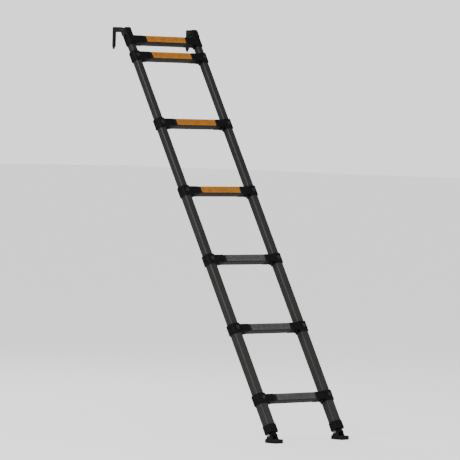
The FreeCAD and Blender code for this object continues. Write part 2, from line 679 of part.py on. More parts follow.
def shoe_pins():
    """Headed pins through the foot fittings, on which the shoes turn."""
    body = new_body("shoe_pin")
    span = "(Dims.tongue_half + Dims.cheek_gap + Dims.cheek_width + Dims.slide_gap)"
    shank = sketch_on(body, "YZ_Plane")
    circle(shank, "0", "0", "Dims.pivot_pin")
    pad(body, shank, f"2 * {span}", both_ways=True)
    for start in (span, f"(-{span} - Dims.pin_head)"):
        head = sketch_on(body, "YZ_Plane", start)
        circle(head, "0", "0", "Dims.pin_head_radius")
        pad(body, head, "Dims.pin_head")
    mirrored_pair(body, "shoe_pins", up_the_rails(PIVOT))


# ------------------------------------------------------------------------------- hooks
def along_rail(distance, across):
    """Upright (Y, Z) of a point along the top rail and behind its centre line."""
    y = f"({distance} * sin(Dims.lean_angle) + {across} * cos(Dims.lean_angle))"
    z = f"({distance} * cos(Dims.lean_angle) - {across} * sin(Dims.lean_angle))"
    return y, z


def hook(side):
    """A plate bolted to the top of a rail, with a mouth that drops over the tent base."""
    body = new_body(f"hook_{side}")
    start = HOOK_FACE if side == "right" else f"(-{HOOK_FACE} - Dims.hook_plate)"
    profile = sketch_on(body, "YZ_Plane", start)
    leg = "(Dims.hook_reach - Dims.hook_tip_width)"
    seat = "(Dims.hook_top - Dims.hook_bar)"
    polygon(profile, [
        along_rail("Dims.hook_low", "(-Dims.hook_half)"),
        along_rail("Dims.hook_low", "Dims.hook_half"),
        ("Dims.hook_seat_front", seat),
        (leg, seat),
        (leg, "-Dims.hook_tip_drop"),
        ("(Dims.hook_reach - Dims.hook_round)", "-Dims.hook_tip_drop"),
        ("Dims.hook_reach", "(Dims.hook_tip_width - Dims.hook_tip_drop)"),
        ("Dims.hook_reach", "Dims.hook_top"),
        ("Dims.hook_seat_front", "Dims.hook_top"),
        along_rail("Dims.hook_high", "(-Dims.hook_half)"),
    ])
    plate = pad(body, profile, "Dims.hook_plate")
    ease(body, plate, lambda edge: runs_along(edge, ACROSS), "Dims.hook_round")
    holes = sketch_on(body, "YZ_Plane")
    for distance in ("Dims.bolt_low", "Dims.bolt_high"):
        circle(holes, *along_rail(distance, "0"), "(Dims.bolt_radius + Dims.collar_seat_gap)")
    pocket(body, holes, "Dims.rail_gauge", both_ways=True)
    x = f"{SIDES[side]} * Dims.rail_gauge / 2"
    keep(body, f"hook_{side}", up_the_rails(station(SECTIONS), x, upright=True))


def hook_liners():
    """Soft strips in the hooks' mouths, along the seat and down the hanging leg."""
    body = new_body("hook_liner")
    middle = f"({HOOK_FACE} + Dims.hook_plate / 2)"
    profile = sketch_on(body, "YZ_Plane", f"-{middle} - Dims.hook_liner_width / 2")
    leg = "(Dims.hook_reach - Dims.hook_tip_width)"
    seat = "(Dims.hook_top - Dims.hook_bar)"
    front = "(Dims.hook_seat_front + 2 * Dims.hook_liner)"
    low = "(2 * Dims.hook_round - Dims.hook_tip_drop)"
    polygon(profile, [
        (front, seat),
        (front, f"{seat} - Dims.hook_liner"),
        (f"{leg} - Dims.hook_liner", f"{seat} - Dims.hook_liner"),
        (f"{leg} - Dims.hook_liner", low),
        (leg, low),
        (leg, seat),
    ])
    strip = pad(body, profile, "Dims.hook_liner_width")
    at_y, at_z = value(leg), value(seat)

    def outer_corner(edge):
        """Whether an edge is the strip's outer corner, against the hook."""
        middle_point = edge.CenterOfMass
        return abs(middle_point.y - at_y) + abs(middle_point.z - at_z) < 1e-4

    ease(body, strip, outer_corner, "Dims.hook_round")
    mirrored_pair(body, "hook_liners", up_the_rails(station(SECTIONS), upright=True))


def hook_bolts():
    """Hexagon bolts and nuts, two through each hook, top collar and top tube."""
    outer_face = f"({HOOK_FACE} + Dims.hook_plate)"
    pieces = []
    for side, sign in SIDES.items():
        rail = f"{sign} * Dims.rail_gauge / 2"
        head_x = f"{rail} + {sign} * {outer_face}"
        nut_x = f"{rail} - {sign} * {HOOK_FACE}"
        for place in ("low", "high"):
            name = f"bolt_{side}_{place}"
            height = f"Dims.bolt_{place}"
            shank = doc.addObject("Part::Cylinder", f"{name}_shank")
            turn = f"rotation(vector(0; 1; 0); {-90 * sign})"
            bind(
                shank,
                Radius="Dims.bolt_radius",
                Height=f"{outer_face} + {HOOK_FACE} + Dims.bolt_nut + Dims.weld",
                Placement=f"placement(vector({head_x}; 0; {height}); {turn})",
            )
            head = doc.addObject("Part::Prism", f"{name}_head")
            back = f"rotation(vector(0; 1; 0); {90 * sign})"
            bind(
                head,
                Circumradius="Dims.bolt_flats",
                Height="Dims.bolt_head",
                Placement=f"placement(vector({head_x}; 0; {height}); {back})",
            )
            nut = doc.addObject("Part::Prism", f"{name}_nut")
            bind(
                nut,
                Circumradius="Dims.bolt_flats",
                Height="Dims.bolt_nut",
                Placement=f"placement(vector({nut_x}; 0; {height}); {turn})",
            )
            bolt = doc.addObject("Part::MultiFuse", name)
            bolt.Shapes = [shank, head, nut]
            pieces.append(bolt)
    group = doc.addObject("Part::Compound", "hook_bolts")
    group.Links = pieces
    keep(group, "hook_bolts", up_the_rails(station(SECTIONS)))


# ------------------------------------------------------------------------------- build
for number in range(1, SECTIONS + 1):
    rail_tubes(number)
    collars(number)
    tread(number)
    grip_strip(number)
    if number < SECTIONS:
        collar_rivets(number)
        latch_springs(number)
        latch(number, "left")
        latch(number, "right")
foot_fittings()
shoe_pins()
shoe("left")
shoe("right")
hook("left")
hook("right")
hook_liners()
hook_bolts()

doc.recompute()
failed = [f"{o.Name} {o.State}" for o in doc.Objects if {"Invalid", "Error"} & set(o.State)]
if failed:
    raise RuntimeError(f"these objects failed: {failed}")
for name, thing in parts.items():
    if thing.Shape.isNull() or not thing.Shape.isValid() or not thing.Shape.Solids:
        raise RuntimeError(f"{name} has no valid solid")

os.makedirs("parts", exist_ok=True)
whole = FreeCAD.BoundBox()
for name, thing in parts.items():
    thing.Shape.exportStep(f"parts/{name}.step")
    whole.add(thing.Shape.BoundBox)
    print(f"{name}: {len(thing.Shape.Solids)} solids, {thing.Shape.Volume / 1000:.1f} cm3")
print(f"{len(parts)} pieces, middle of the footprint at y = {(whole.YMin + whole.YMax) / 2:.2f}")
print(f"box {whole.XLength:.1f} x {whole.YLength:.1f} x {whole.ZLength:.1f}, low {whole.ZMin:.3f}")
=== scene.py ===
"""Telescopic boarding ladder: the looks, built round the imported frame.

The ladder stands on the ground and leans back on the edge of a roof-tent base. Its
seven sections slide into each other, so each class below dresses one kind of
sub-assembly and is used once per section. Pieces are drawn in rail axes (+X along the
treads, -Y towards the climber, +Z up the rails) and then set at their station.
"""
import json
import logging
import math
from dataclasses import dataclass
from enum import Enum
from typing import Iterable, Sequence

import bmesh
import bpy
from mathutils import Matrix, Vector


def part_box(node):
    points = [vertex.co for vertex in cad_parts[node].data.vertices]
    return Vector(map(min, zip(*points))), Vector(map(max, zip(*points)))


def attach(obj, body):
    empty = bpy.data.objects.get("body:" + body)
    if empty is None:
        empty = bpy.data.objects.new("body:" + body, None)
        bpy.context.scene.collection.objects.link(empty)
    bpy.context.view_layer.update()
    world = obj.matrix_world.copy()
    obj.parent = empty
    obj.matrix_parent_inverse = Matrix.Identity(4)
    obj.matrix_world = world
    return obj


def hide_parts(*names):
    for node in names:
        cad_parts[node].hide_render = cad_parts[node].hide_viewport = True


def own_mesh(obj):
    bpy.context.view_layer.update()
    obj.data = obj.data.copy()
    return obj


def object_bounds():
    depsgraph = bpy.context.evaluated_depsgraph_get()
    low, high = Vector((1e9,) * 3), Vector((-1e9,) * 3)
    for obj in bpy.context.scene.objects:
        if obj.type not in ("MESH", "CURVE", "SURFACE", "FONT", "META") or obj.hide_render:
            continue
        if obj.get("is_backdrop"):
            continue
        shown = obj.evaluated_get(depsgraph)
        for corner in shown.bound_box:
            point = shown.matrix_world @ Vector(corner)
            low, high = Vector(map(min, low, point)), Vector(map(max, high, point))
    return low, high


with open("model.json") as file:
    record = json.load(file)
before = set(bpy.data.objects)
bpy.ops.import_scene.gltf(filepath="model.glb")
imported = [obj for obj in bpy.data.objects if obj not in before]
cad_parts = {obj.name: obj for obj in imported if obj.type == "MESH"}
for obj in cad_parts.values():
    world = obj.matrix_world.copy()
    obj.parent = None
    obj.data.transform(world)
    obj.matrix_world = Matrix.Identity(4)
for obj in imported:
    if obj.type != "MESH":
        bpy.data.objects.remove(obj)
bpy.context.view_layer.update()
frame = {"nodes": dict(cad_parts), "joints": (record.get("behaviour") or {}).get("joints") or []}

LOG = logging.getLogger("ladder")
MM = 0.001
SECTIONS = 7
CIRCLE, HEXAGON = 0, 6
FINISH_MARK = "_finish"
FULL_TURN = 2 * math.pi
SHARP_ANGLE = math.radians(38.0)
Loop = list[Vector]
Colour = tuple[float, float, float]
Offset = tuple[float, float, float]
Socket = bpy.types.NodeSocket


class Side(Enum):
    """The climber's left or right rail; the value is the sign of its X."""

    LEFT = -1
    RIGHT = 1

    @property
    def word(self) -> str:
        """The side as node names spell it."""
        return self.name.lower()


class Grain(Enum):
    """The way that a piece's drawing or brushing marks run."""

    ALONG_RAILS = (1.0, 1.0, 0.02)
    ALONG_TREADS = (0.02, 1.0, 1.0)
    EVEN = (1.0, 1.0, 1.0)


class GripColour(Enum):
    """The two colours of grip strip, with the record's slot for each."""

    GREY = "grey_grip"
    ORANGE = "orange_grip"


# ------------------------------------------------------------------------------ layout
@dataclass(frozen=True)
class Layout:
    """Where the ladder's parts are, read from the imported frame."""

    lean: Matrix
    half_gauge: float
    stations: tuple[Vector, ...]

    @classmethod
    def from_frame(cls) -> "Layout":
        """Read the lean from a slide's axis and the stations from the treads' boxes.

        Returns:
            The layout of the ladder at rest.
        """
        joints = {joint["name"]: joint for joint in frame["joints"]}
        rise = Vector(joints["slide_2"]["axis"]).normalized()
        lean = Matrix.Rotation(-math.atan2(rise.y, rise.z), 4, "X")
        half_gauge = abs(joints["shoe_left_pivot"]["pos_m"][0])
        stations = []
        for section in range(1, SECTIONS + 1):
            low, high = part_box(f"tread_{section}")
            stations.append((low + high) / 2)
        return cls(lean, half_gauge, tuple(stations))

    def at(self, section: int) -> Matrix:
        """The matrix that takes a piece from rail axes to a tread's centre."""
        return Matrix.Translation(self.stations[section - 1]) @ self.lean

    def tube_width(self, section: int) -> float:
        """The outer width of a section's tubes, along X."""
        low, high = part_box(f"rail_tubes_{section}")
        return high.x - low.x - 2 * self.half_gauge


# ---------------------------------------------------------------------------- finishes
class Graph:
    """A material's node tree, with short ways to add the parts that finishes share."""

    octave_fall: float = 0.55
    noise_middle: tuple[float, float] = (0.3, 0.7)
    edge_samples: int = 3
    edge_match: tuple[float, float] = (1.0, 0.86)

    def __init__(self, name: str) -> None:
        """Start a material with its own Principled shader.

        Args:
            name: The finish's name.
        """
        self.material = bpy.data.materials.new(f"{name}{FINISH_MARK}")
        self.material.use_nodes = True
        self.tree = self.material.node_tree
        self.shader = self.tree.nodes["Principled BSDF"]

    def add(self, kind: str, **inputs: object) -> bpy.types.Node:
        """Add a node and set its inputs, or its own settings, by name.

        Args:
            kind: The node's type without its "ShaderNode" start.
            **inputs: Values for inputs (a name's underscores are spaces) or settings.

        Returns:
            The new node.
        """
        node = self.tree.nodes.new(f"ShaderNode{kind}")
        for name, setting in inputs.items():
            if hasattr(node, name):
                setattr(node, name, setting)
            else:
                node.inputs[name.replace("_", " ")].default_value = setting
        return node

    def wire(self, source: Socket, target: Socket) -> None:
        """Link an output to an input."""
        self.tree.links.new(source, target)

    def set(self, **inputs: float) -> None:
        """Set the shader's own inputs by name, with underscores for spaces."""
        for name, setting in inputs.items():
            self.shader.inputs[name.replace("_", " ")].default_value = setting

    def coordinates(self, lean: float, grain: Grain) -> Socket:
        """Turn object coordinates into rail axes and draw them out along the grain.

        Args:
            lean: The rails' angle from the vertical, in radians.
            grain: The way that the marks run.

        Returns:
            The output that gives the coordinates.
        """
        place = self.add("TexCoord")
        turned = self.add("Mapping", vector_type="POINT", Rotation=(lean, 0.0, 0.0))
        drawn = self.add("Mapping", vector_type="POINT", Scale=grain.value)
        self.wire(place.outputs["Object"], turned.inputs["Vector"])
        self.wire(turned.outputs["Vector"], drawn.inputs["Vector"])
        return drawn.outputs["Vector"]

    def noise(self, where: Socket, scale: float, detail: float = 3.0) -> Socket:
        """Add fractal noise.

        Args:
            where: The coordinates to read it at.
            scale: How fine it is: about this many features in a metre.
            detail: How many finer octaves it has.

        Returns:
            The output that gives the noise, from 0 to 1.
        """
        node = self.add("TexNoise", Scale=scale, Detail=detail, Roughness=self.octave_fall)
        self.wire(where, node.inputs["Vector"])
        return node.outputs["Fac"]

    def spread(self, source: Socket, low: float, high: float) -> Socket:
        """Stretch the middle of a noise over a range of values.

        Args:
            source: The noise.
            low: The value at the noise's low end.
            high: The value at its high end.

        Returns:
            The output that gives the value.
        """
        start, end = self.noise_middle
        node = self.add("MapRange", From_Min=start, From_Max=end, To_Min=low, To_Max=high)
        self.wire(source, node.inputs["Value"])
        return node.outputs["Result"]

    def mix(self, share: Socket, first: Colour | Socket, second: Colour | Socket) -> Socket:
        """Mix two colours, each given as a colour or as another mix's output.

        Args:
            share: How much of the second colour shows, from 0 to 1.
            first: The first colour.
            second: The second colour.

        Returns:
            The output that gives the mixed colour.
        """
        node = self.add("Mix", data_type="RGBA")
        self.wire(share, node.inputs["Factor"])
        for socket, colour in zip(node.inputs[6:8], (first, second)):
            if isinstance(colour, Socket):
                self.wire(colour, socket)
            else:
                socket.default_value = (*colour, 1.0)
        return node.outputs[2]

    def edges(self, radius: float) -> Socket:
        """Add a mask that is near 1 along the mesh's edges and 0 on its flats.

        Args:
            radius: How far from an edge the mask reaches.

        Returns:
            The output that gives the mask.
        """
        rounded = self.add("Bevel", samples=self.edge_samples, Radius=radius)
        surface = self.add("NewGeometry")
        match = self.add("VectorMath", operation="DOT_PRODUCT")
        self.wire(rounded.outputs["Normal"], match.inputs[0])
        self.wire(surface.outputs["Normal"], match.inputs[1])
        flat, bent = self.edge_match
        mask = self.add("MapRange", From_Min=flat, From_Max=bent)
        self.wire(match.outputs["Value"], mask.inputs["Value"])
        return mask.outputs["Result"]

    def roughen(self, source: Socket, middle: float, swing: tuple[float, float]) -> None:
        """Let a noise vary the roughness.

        Args:
            source: The noise.
            middle: The usual roughness.
            swing: How far below and above that it goes.
        """
        below, above = swing
        rough = self.spread(source, middle - below, middle + above)
        self.wire(rough, self.shader.inputs["Roughness"])

    def bump(self, height: Socket, depth: float, strength: float) -> None:
        """Raise the surface by a height map.

        Args:
            height: The height map, from 0 to 1.
            depth: How high the map's 1 stands, in metres.
            strength: How much of the bump shows.
        """
        node = self.add("Bump", Strength=strength, Distance=depth)
        self.wire(height, node.inputs["Height"])
        self.wire(node.outputs["Normal"], self.shader.inputs["Normal"])


def lighter(colour: Colour, times: float) -> Colour:
    """A colour with each channel multiplied, and held to 1."""
    return tuple(min(1.0, channel * times) for channel in colour)


@dataclass(frozen=True)
class AnodisedAluminium:
    """Extruded aluminium, dark anodised: fine drawing marks and rubbed edges."""

    name: str
    colour: Colour
    grain: Grain
    roughness: float = 0.48
    swing: tuple[float, float] = (0.06, 0.08)
    metal: float = 0.6
    gloss: float = 0.3
    rub: float = 2.2
    rub_width: float = 0.9 * MM
    streak_scale: float = 420.0
    streak_light: float = 1.5
    streak_share: float = 0.3
    streak_depth: float = 0.04 * MM
    cloud_scale: float = 9.0
    cloud_light: float = 1.22

    def build(self, lean: float) -> None:
        """Make the material.

        Args:
            lean: The rails' angle from the vertical, in radians.
        """
        graph = Graph(self.name)
        drawn = graph.coordinates(lean, self.grain)
        even = graph.coordinates(lean, Grain.EVEN)
        streaks = graph.noise(drawn, self.streak_scale, detail=4.0)
        clouds = graph.noise(even, self.cloud_scale, detail=2.0)
        graph.set(Metallic=self.metal, Specular_IOR_Level=self.gloss)
        patchy = lighter(self.colour, self.cloud_light)
        shade = graph.mix(graph.spread(clouds, 0.0, 1.0), self.colour, patchy)
        drawing = lighter(self.colour, self.streak_light)
        shade = graph.mix(graph.spread(streaks, 0.0, self.streak_share), shade, drawing)
        rubbed = lighter(self.colour, self.rub)
        worn = graph.mix(graph.edges(self.rub_width), shade, rubbed)
        graph.wire(worn, graph.shader.inputs["Base Color"])
        graph.roughen(streaks, self.roughness, self.swing)
        graph.bump(streaks, self.streak_depth, strength=0.5)


@dataclass(frozen=True)
class MouldedPlastic:
    """Injection-moulded black plastic with a spark-eroded texture."""

    name: str
    colour: Colour
    roughness: float = 0.52
    swing: tuple[float, float] = (0.07, 0.07)
    gloss: float = 0.10
    rub: float = 2.6
    rub_width: float = 0.7 * MM
    cloud_scale: float = 24.0
    cloud_light: float = 1.5
    texture_scale: float = 1500.0
    texture_depth: float = 0.06 * MM

    def build(self, lean: float) -> None:
        """Make the material.

        Args:
            lean: The rails' angle from the vertical, in radians.
        """
        graph = Graph(self.name)
        even = graph.coordinates(lean, Grain.EVEN)
        clouds = graph.noise(even, self.cloud_scale)
        texture = graph.noise(even, self.texture_scale, detail=2.0)
        patchy = lighter(self.colour, self.cloud_light)
        shade = graph.mix(graph.spread(clouds, 0.0, 1.0), self.colour, patchy)
        rubbed = lighter(self.colour, self.rub)
        worn = graph.mix(graph.edges(self.rub_width), shade, rubbed)
        graph.wire(worn, graph.shader.inputs["Base Color"])
        graph.roughen(clouds, self.roughness, self.swing)
        graph.set(Specular_IOR_Level=self.gloss)
        graph.bump(texture, self.texture_depth, strength=0.6)


@dataclass(frozen=True)
class Rubber:
    """Matt rubber: a faint bloom, dust in patches and a fine grain."""

    name: str
    colour: Colour
    dust: Colour = (0.30, 0.28, 0.25)
    dust_share: float = 0.06
    roughness: float = 0.74
    swing: tuple[float, float] = (0.06, 0.1)
    gloss: float = 0.18
    cloud_scale: float = 32.0
    cloud_dark: float = 0.86
    cloud_light: float = 1.1
    grain_scale: float = 700.0
    grain_depth: float = 0.09 * MM

    def build(self, lean: float) -> None:
        """Make the material.

        Args:
            lean: The rails' angle from the vertical, in radians.
        """
        graph = Graph(self.name)
        even = graph.coordinates(lean, Grain.EVEN)
        clouds = graph.noise(even, self.cloud_scale, detail=4.0)
        grain = graph.noise(even, self.grain_scale, detail=2.0)
        low, high = lighter(self.colour, self.cloud_dark), lighter(self.colour, self.cloud_light)
        shade = graph.mix(graph.spread(clouds, 0.0, 1.0), low, high)
        dusty = graph.mix(graph.spread(clouds, 0.0, self.dust_share), shade, self.dust)
        graph.wire(dusty, graph.shader.inputs["Base Color"])
        graph.roughen(grain, self.roughness, self.swing)
        graph.set(Specular_IOR_Level=self.gloss)
        graph.bump(grain, self.grain_depth, strength=0.5)


@dataclass(frozen=True)
class PaintedSteel:
    """Steel under powder coat or black oxide: orange peel and bright rubbed edges."""

    name: str
    colour: Colour
    roughness: float = 0.45
    swing: tuple[float, float] = (0.08, 0.08)
    gloss: float = 0.5
    rub: Colour = (0.16, 0.155, 0.15)
    rub_width: float = 0.6 * MM
    cloud_scale: float = 40.0
    cloud_light: float = 1.4
    peel_scale: float = 520.0
    peel_depth: float = 0.08 * MM

    def build(self, lean: float) -> None:
        """Make the material.

        Args:
            lean: The rails' angle from the vertical, in radians.
        """
        graph = Graph(self.name)
        even = graph.coordinates(lean, Grain.EVEN)
        clouds = graph.noise(even, self.cloud_scale)
        peel = graph.noise(even, self.peel_scale, detail=1.0)
        patchy = lighter(self.colour, self.cloud_light)
        shade = graph.mix(graph.spread(clouds, 0.0, 1.0), self.colour, patchy)
        worn = graph.mix(graph.edges(self.rub_width), shade, self.rub)
        graph.wire(worn, graph.shader.inputs["Base Color"])
        graph.roughen(clouds, self.roughness, self.swing)
        graph.set(Specular_IOR_Level=self.gloss)
        graph.bump(peel, self.peel_depth, strength=0.45)


@dataclass(frozen=True)
class BareSteel:
    """Zinc-plated or spring steel: patches of slightly different grey."""

    name: str
    colour: Colour
    roughness: float = 0.3
    swing: tuple[float, float] = (0.08, 0.12)
    cloud_scale: float = 160.0
    cloud_dark: float = 0.8
    cloud_depth: float = 0.03 * MM

    def build(self, lean: float) -> None:
        """Make the material.

        Args:
            lean: The rails' angle from the vertical, in radians.
        """
        graph = Graph(self.name)
        even = graph.coordinates(lean, Grain.EVEN)
        clouds = graph.noise(even, self.cloud_scale, detail=4.0)
        patchy = lighter(self.colour, self.cloud_dark)
        shade = graph.mix(graph.spread(clouds, 0.0, 1.0), patchy, self.colour)
        graph.wire(shade, graph.shader.inputs["Base Color"])
        graph.set(Metallic=1.0)
        graph.roughen(clouds, self.roughness, self.swing)
        graph.bump(clouds, self.cloud_depth, strength=0.3)


FINISHES = (
    AnodisedAluminium("rail_aluminium", (0.066, 0.0635, 0.061), Grain.ALONG_RAILS),
    AnodisedAluminium("tread_aluminium", (0.022, 0.0215, 0.021), Grain.ALONG_TREADS, metal=0.4),
    MouldedPlastic("collar_plastic", (0.0105, 0.0105, 0.011)),
    MouldedPlastic("latch_plastic", (0.022, 0.022, 0.023), 0.45),
    MouldedPlastic("fitting_plastic", (0.011, 0.011, 0.0115), 0.56),
    Rubber("orange_grip", (0.84, 0.325, 0.042), dust_share=0.03),
    Rubber("grey_grip", (0.170, 0.170, 0.170)),
    Rubber("shoe_rubber", (0.016, 0.016, 0.016)),
    Rubber("liner_rubber", (0.02, 0.02, 0.02), dust_share=0.04),
    PaintedSteel("hook_steel", (0.018, 0.018, 0.019)),
    PaintedSteel("rivet_steel", (0.020, 0.020, 0.021), 0.34),
    PaintedSteel("bolt_steel", (0.030, 0.030, 0.032), 0.3),
    BareSteel("spring_steel", (0.52, 0.52, 0.54)),
    BareSteel("pin_steel", (0.46, 0.46, 0.48), 0.34),
)


def made_finish(name: str) -> bpy.types.Material:
    """The material that was made for a finish, and not the CAD's plain one."""
    return bpy.data.materials[name + FINISH_MARK]


# ------------------------------------------------------------------------------- meshes
def rounded_loop(width: float, depth: float, corner: float, steps: int = 6) -> Loop:
    """A closed loop round a rectangle with rounded corners, about Z.

    Args:
        width: Its size along X.
        depth: Its size along Y.
        corner: The radius of its corners.
        steps: How many points each corner takes.

    Returns:
        The loop's points, anticlockwise from the +X side.
    """
    loop = []
    for quarter, (x, y) in enumerate(((1, 1), (-1, 1), (-1, -1), (1, -1))):
        middle = Vector((x * (width / 2 - corner), y * (depth / 2 - corner), 0.0))
        for step in range(steps):
            angle = (quarter + step / (steps - 1)) * FULL_TURN / 4
            loop.append(middle + corner * Vector((math.cos(angle), math.sin(angle), 0.0)))
    return loop


def ring_loop(radius: float, height: float, sides: int = CIRCLE, steps: int = 48) -> Loop:
    """A closed loop about Z: a circle, or a polygon across its flats.

    Args:
        radius: The circle's radius, or half the polygon's width across flats.
        height: The loop's Z.
        sides: How many sides the polygon has, or CIRCLE.
        steps: How many points the loop has.

    Returns:
        The loop's points.
    """
    loop = []
    for step in range(steps):
        angle = FULL_TURN * step / steps
        reach = radius
        if sides:
            half = math.pi / sides
            reach = radius / math.cos((angle % (2 * half)) - half)
        loop.append(Vector((reach * math.cos(angle), reach * math.sin(angle), height)))
    return loop


class Blank:
    """A mesh being shaped in a piece's own axes, in metres.

    A rib's profile gives, from its foot up, shares of its height and of its width.
    """

    rib_profile: tuple[tuple[float, float], ...] = ((-0.5, 1.0), (0.72, 0.8), (1.0, 0.42))

    def __init__(self) -> None:
        """Start with nothing in the mesh."""
        self.mesh = bmesh.new()

    def loft(self, loops: Iterable[Loop], closed: bool = False) -> "Blank":
        """Skin a run of closed loops that all have the same number of points.

        Args:
            loops: The loops, in order.
            closed: Whether the run ends where it starts, so that it needs no caps.

        Returns:
            This blank, so that calls can follow each other.
        """
        rings = [[self.mesh.verts.new(point) for point in loop] for loop in loops]
        pairs = list(zip(rings, rings[1:]))
        if closed:
            pairs.append((rings[-1], rings[0]))
        for lower, upper in pairs:
            around = zip(lower, lower[1:] + lower[:1], upper[1:] + upper[:1], upper)
            for corners in around:
                self.mesh.faces.new(corners)
        if not closed:
            self.mesh.faces.new(rings[0])
            self.mesh.faces.new(rings[-1])
        return self

    def placed(self, loops: Iterable[Loop], place: Matrix) -> "Blank":
        """Skin an open run of loops after moving them to a place."""
        return self.loft([[place @ point for point in loop] for loop in loops])

    def rib(self, start: Vector, end: Vector, width: float, height: Vector) -> "Blank":
        """A moulded rib between two points of a face: drafted sides and a soft crown.

        Args:
            start: The middle of the rib's foot at one end.
            end: The same at the other end.
            width: The rib's width at its foot.
            height: How far, and which way, the rib stands out of the face.

        Returns:
            This blank.
        """
        run = (end - start).normalized()
        across = run.cross(height.normalized()) * width / 2
        loops = []
        for share, spread in self.rib_profile:
            tuck = run * width / 2 * (1.0 - spread)
            lift = height * share
            loops.append([
                start + tuck - across * spread + lift,
                end - tuck - across * spread + lift,
                end - tuck + across * spread + lift,
                start + tuck + across * spread + lift,
            ])
        return self.loft(loops)

    def both_sides(self) -> "Blank":
        """Add the mirror image of everything so far across the middle plane.

        Returns:
            This blank.
        """
        whole = [*self.mesh.verts, *self.mesh.faces]
        twin = bmesh.ops.duplicate(self.mesh, geom=whole)
        verts = [item for item in twin["geom"] if isinstance(item, bmesh.types.BMVert)]
        faces = [item for item in twin["geom"] if isinstance(item, bmesh.types.BMFace)]
        for vert in verts:
            vert.co.x = -vert.co.x
        bmesh.ops.reverse_faces(self.mesh, faces=faces)
        return self

    def finish(
        self, name: str, place: Matrix, body: str, slot: str, replaces: Sequence[str] = ()
    ) -> bpy.types.Object:
        """Turn the blank into a dressed piece that rides on its body.

        Args:
            name: The piece's name.
            place: The matrix from the blank's axes to the frame.
            body: The body that the piece rides on.
            slot: The record's material slot, which is also the finish's name.
            replaces: The CAD nodes that the piece stands for.

        Returns:
            The new object.
        """
        bmesh.ops.recalc_face_normals(self.mesh, faces=self.mesh.faces)
        self.mesh.transform(place)
        data = bpy.data.meshes.new(name)
        self.mesh.to_mesh(data)
        self.mesh.free()
        data.shade_smooth()
        data.set_sharp_from_angle(angle=SHARP_ANGLE)
        piece = bpy.data.objects.new(name, data)
        bpy.context.scene.collection.objects.link(piece)
        data.materials.append(made_finish(slot))
        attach(piece, body)
        if replaces:
            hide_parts(*replaces)
        LOG.info("%s: %d faces on %s", name, len(data.polygons), body)
        return piece


# ----------------------------------------------------------------------- sub-assemblies
@dataclass(frozen=True)
class Tread:
    """A box-section tread whose top has eight ridges, the inner six of them notched."""

    depth: float = 40.0 * MM
    height: float = 35.0 * MM
    wall: float = 2.0 * MM
    corner: float = 4.0 * MM
    half_length: float = 142.0 * MM
    grooves: int = 7
    groove_pitch: float = 4.6 * MM
    groove_width: float = 2.0 * MM
    groove_depth: float = 0.9 * MM
    groove_draft: float = 0.15 * MM
    notch_pitch: float = 7.1 * MM
    notch_depth: float = 0.45 * MM
    notch_half_mouth: float = 1.1 * MM
    notch_half_floor: float = 0.6 * MM

    def section(self, x: float, notched: bool) -> Loop:
        """Draw the tread's outer section at one place along it.

        Args:
            x: The place.
            notched: Whether the inner ridges' crests are cut down here.

        Returns:
            The closed loop.
        """
        outline = rounded_loop(self.depth, self.height, self.corner)
        high = self.height / 2
        crest = high - (self.notch_depth if notched else 0.0)
        floor = high - self.groove_depth
        last = self.grooves - 1
        top = []
        for groove in range(self.grooves):
            middle = (groove - last / 2) * self.groove_pitch
            near, far = middle + self.groove_width / 2, middle - self.groove_width / 2
            top.append((-near, crest if groove > 0 else high))
            top.append((-near + self.groove_draft, floor))
            top.append((-far - self.groove_draft, floor))
            top.append((-far, crest if groove < last else high))
        turn = len(outline) // 4
        sides = [(point.x, point.y) for point in outline]
        ridged = sides[:turn] + sorted(top, reverse=True) + sides[turn:]
        return [Vector((x, y, z)) for y, z in ridged]

    def bore(self, x: float, points: int) -> Loop:
        """Draw the inner wall's section.

        Args:
            x: The place along the tread.
            points: How many points it has, to match the outer section.

        Returns:
            The closed loop.
        """
        inner = rounded_loop(
            self.depth - 2 * self.wall, self.height - 2 * self.wall, self.corner - self.wall
        )
        turn = len(inner) // 4
        start, end = inner[turn - 1], inner[turn]
        extra = points - len(inner)
        straight = [start.lerp(end, (step + 1) / (extra + 1)) for step in range(extra)]
        full = inner[:turn] + straight + inner[turn:]
        return [Vector((x, point.x, point.y)) for point in full]

    def build(self, layout: Layout, section: int) -> None:
        """Make one section's tread in place of the CAD's.

        Args:
            layout: The ladder's layout.
            section: Which section, counted from the ground.
        """
        mouth, floor = self.notch_half_mouth, self.notch_half_floor
        notch = ((-mouth, False), (-floor, True), (floor, True), (mouth, False))
        stops = [(-self.half_length, False)]
        last = int(2 * (self.half_length - 2 * self.notch_pitch) / self.notch_pitch)
        for place in range(last + 1):
            middle = (place - last / 2) * self.notch_pitch
            stops += [(middle + shift, cut) for shift, cut in notch]
        stops.append((self.half_length, False))
        loops = [self.section(x, cut) for x, cut in stops]
        points = len(loops[0])
        loops += [self.bore(self.half_length, points), self.bore(-self.half_length, points)]
        node = f"tread_{section}"
        blank = Blank().loft(loops, closed=True)
        blank.finish(
            f"{node}_bar", layout.at(section), f"section_{section}", "tread_aluminium", [node]
        )


